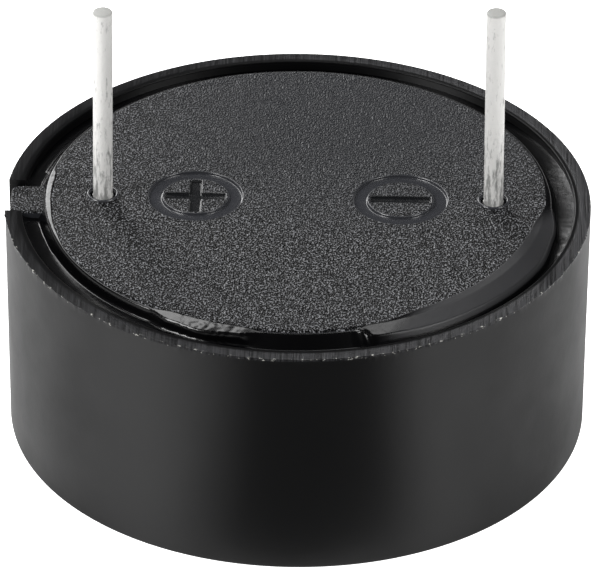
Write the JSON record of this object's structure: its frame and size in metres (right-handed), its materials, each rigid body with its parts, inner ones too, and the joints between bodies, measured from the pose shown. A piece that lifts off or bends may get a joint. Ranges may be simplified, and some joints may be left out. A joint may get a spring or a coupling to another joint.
{
  "type": "piezo buzzer",
  "caption": "Round black piezo buzzer with a ground rim, a raised textured base plate marked plus and minus, and straight wire pins for a circuit board.",
  "frame": {"origin": "middle of the closed sound face, which the buzzer stands on", "axes": "+Z along the pins, away from the sound face; +X towards the negative pin, -X towards the positive pin and the key tab"},
  "size_m": [0.0301, 0.0302, 0.024],
  "materials": {
    "case_plastic": "satin, moulded",
    "plate_plastic": "spark-eroded grain",
    "sealing_resin": "glossy, poured",
    "tinned_wire": "dull tin plate",
    "brass": "rolled sheet",
    "piezo_ceramic": "matt, sintered",
    "silver": "fired silver paste",
    "silicone": "soft",
    "board_laminate": "phenolic paper laminate",
    "transistor_epoxy": "moulded epoxy",
    "resistor_lacquer": "lacquered",
    "red_insulation": "smooth",
    "blue_insulation": "smooth",
    "black_insulation": "smooth",
    "solder": "bright, slightly frosted"
  },
  "bodies": {
    "root": {"case": "case_plastic", "base_plate": "plate_plastic", "seal_ring": "sealing_resin", "positive_pin": "tinned_wire", "negative_pin": "tinned_wire", "diaphragm": "brass", "ceramic_disc": "piezo_ceramic", "main_electrode": "silver", "feedback_electrode": "silver", "diaphragm_bead": "silicone", "circuit_board": "board_laminate", "transistor": "transistor_epoxy", "resistor_1": "resistor_lacquer", "resistor_2": "resistor_lacquer", "resistor_3": "resistor_lacquer", "drive_wire": "red_insulation", "feedback_wire": "blue_insulation", "ground_wire": "black_insulation", "drive_solder": "solder", "feedback_solder": "solder", "ground_solder": "solder", "positive_pin_solder": "solder", "negative_pin_solder": "solder", "board_solder": "solder"}
  },
  "joints": []
}
